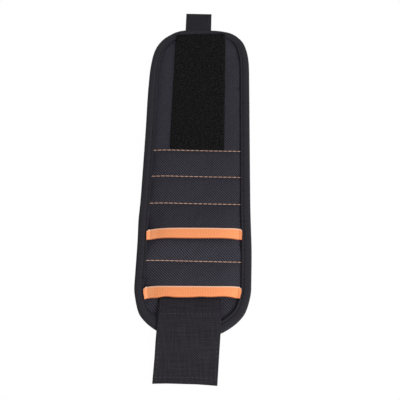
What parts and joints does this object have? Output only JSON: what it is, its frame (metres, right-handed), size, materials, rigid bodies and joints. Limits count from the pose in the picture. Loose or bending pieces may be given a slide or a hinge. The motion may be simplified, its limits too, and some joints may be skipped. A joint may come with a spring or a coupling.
{
  "type": "magnetic wristband",
  "caption": "Padded cloth wristband with sewn-in disc magnets, elastic-mouthed pockets, loop-tape field, hook-tape strap and pull tab, lying flat.",
  "frame": {"origin": "on the table, below the middle of the whole length from pull tab to strap end and the middle of the width", "axes": "+Z out of the outer face, +Y along the band towards the pull tab, +X across the band"},
  "size_m": [0.09, 0.3454, 0.0099],
  "materials": {
    "ballistic_cloth": "matte woven nylon",
    "binding_tape": "matte ribbed tape",
    "padded_mesh": "matte air mesh over thin foam",
    "loop_tape": "fuzzy brushed loops",
    "hook_tape": "moulded nylon hooks",
    "webbing": "plain woven webbing",
    "orange_elastic": "ribbed folded elastic",
    "magnet_plating": "nickel-plated disc"
  },
  "bodies": {
    "loop_1": {"cloth_loop_1": "ballistic_cloth", "lining_loop_1": "padded_mesh", "binding_top_end": "binding_tape", "loop_tape_1": "loop_tape"},
    "loop_2": {"cloth_loop_2": "ballistic_cloth", "lining_loop_2": "padded_mesh", "binding_loop_2_left": "binding_tape", "binding_loop_2_right": "binding_tape", "loop_tape_2": "loop_tape"},
    "loop_3": {"cloth_loop_3": "ballistic_cloth", "lining_loop_3": "padded_mesh", "binding_loop_3_left": "binding_tape", "binding_loop_3_right": "binding_tape", "loop_tape_3": "loop_tape"},
    "loop_4": {"cloth_loop_4": "ballistic_cloth", "lining_loop_4": "padded_mesh", "binding_loop_4_left": "binding_tape", "binding_loop_4_right": "binding_tape", "loop_tape_4": "loop_tape"},
    "row_1": {"cloth_row_1": "ballistic_cloth", "lining_row_1": "padded_mesh", "binding_row_1_left": "binding_tape", "binding_row_1_right": "binding_tape", "magnet_1_left": "magnet_plating", "magnet_1_right": "magnet_plating"},
    "row_2": {"cloth_row_2": "ballistic_cloth", "lining_row_2": "padded_mesh", "binding_row_2_left": "binding_tape", "binding_row_2_right": "binding_tape", "magnet_2_left": "magnet_plating", "magnet_2_right": "magnet_plating"},
    "row_3": {"cloth_row_3": "ballistic_cloth", "lining_row_3": "padded_mesh", "binding_row_3_left": "binding_tape", "binding_row_3_right": "binding_tape", "magnet_3_left": "magnet_plating", "magnet_3_right": "magnet_plating", "pocket_upper": "ballistic_cloth", "trim_upper": "orange_elastic"},
    "row_4": {"cloth_row_4": "ballistic_cloth", "lining_row_4": "padded_mesh", "binding_row_4_left": "binding_tape", "binding_row_4_right": "binding_tape", "magnet_4_left": "magnet_plating", "magnet_4_right": "magnet_plating"},
    "row_5": {"cloth_row_5": "ballistic_cloth", "lining_row_5": "padded_mesh", "binding_row_5_left": "binding_tape", "binding_row_5_right": "binding_tape", "magnet_5_left": "magnet_plating", "magnet_5_right": "magnet_plating", "pocket_lower": "ballistic_cloth", "trim_lower": "orange_elastic"},
    "strap_end": {"cloth_strap_end": "ballistic_cloth", "lining_strap_end": "padded_mesh", "binding_strap_end": "binding_tape", "strap_sewn_end": "webbing"},
    "strap": {"strap_free_end": "webbing", "hook_tape": "hook_tape"},
    "tab": {"pull_tab": "webbing"}
  },
  "joints": [
    {"name": "seam_2", "type": "hinge", "parent": "row_2", "child": "row_1", "pos_m": [0, -0.00375, 0.0024], "axis": [-1, 0, 0], "range_deg": [-10, 31]},
    {"name": "seam_1", "type": "hinge", "parent": "row_1", "child": "loop_4", "pos_m": [0, 0.02125, 0.0024], "axis": [-1, 0, 0], "range_deg": [-10, 36]},
    {"name": "crease_3", "type": "hinge", "parent": "loop_4", "child": "loop_3", "pos_m": [0, 0.054, 0.0024], "axis": [-1, 0, 0], "range_deg": [-10, 42]},
    {"name": "crease_2", "type": "hinge", "parent": "loop_3", "child": "loop_2", "pos_m": [0, 0.08675, 0.0024], "axis": [-1, 0, 0], "range_deg": [-10, 43]},
    {"name": "crease_1", "type": "hinge", "parent": "loop_2", "child": "loop_1", "pos_m": [0, 0.1195, 0.0024], "axis": [-1, 0, 0], "range_deg": [-10, 44]},
    {"name": "tab_fold", "type": "hinge", "parent": "loop_1", "child": "tab", "pos_m": [-0.0024, 0.15285, 0.0024], "axis": [-1, 0, 0], "range_deg": [-70, 60]},
    {"name": "seam_3", "type": "hinge", "parent": "row_2", "child": "row_3", "pos_m": [0, -0.02875, 0.0024], "axis": [1, 0, 0], "range_deg": [-10, 34]},
    {"name": "mouth_upper", "type": "hinge", "parent": "row_3", "child": "row_4", "pos_m": [0, -0.05975, 0.0024], "axis": [1, 0, 0], "range_deg": [-10, 30]},
    {"name": "seam_4", "type": "hinge", "parent": "row_4", "child": "row_5", "pos_m": [0, -0.07875, 0.0024], "axis": [1, 0, 0], "range_deg": [-10, 28]},
    {"name": "mouth_lower", "type": "hinge", "parent": "row_5", "child": "strap_end", "pos_m": [0, -0.10825, 0.0024], "axis": [1, 0, 0], "range_deg": [-10, 36]},
    {"name": "strap_fold", "type": "hinge", "parent": "strap_end", "child": "strap", "pos_m": [-0.0018, -0.14075, 0.00615], "axis": [1, 0, 0], "range_deg": [-150, 37]}
  ]
}
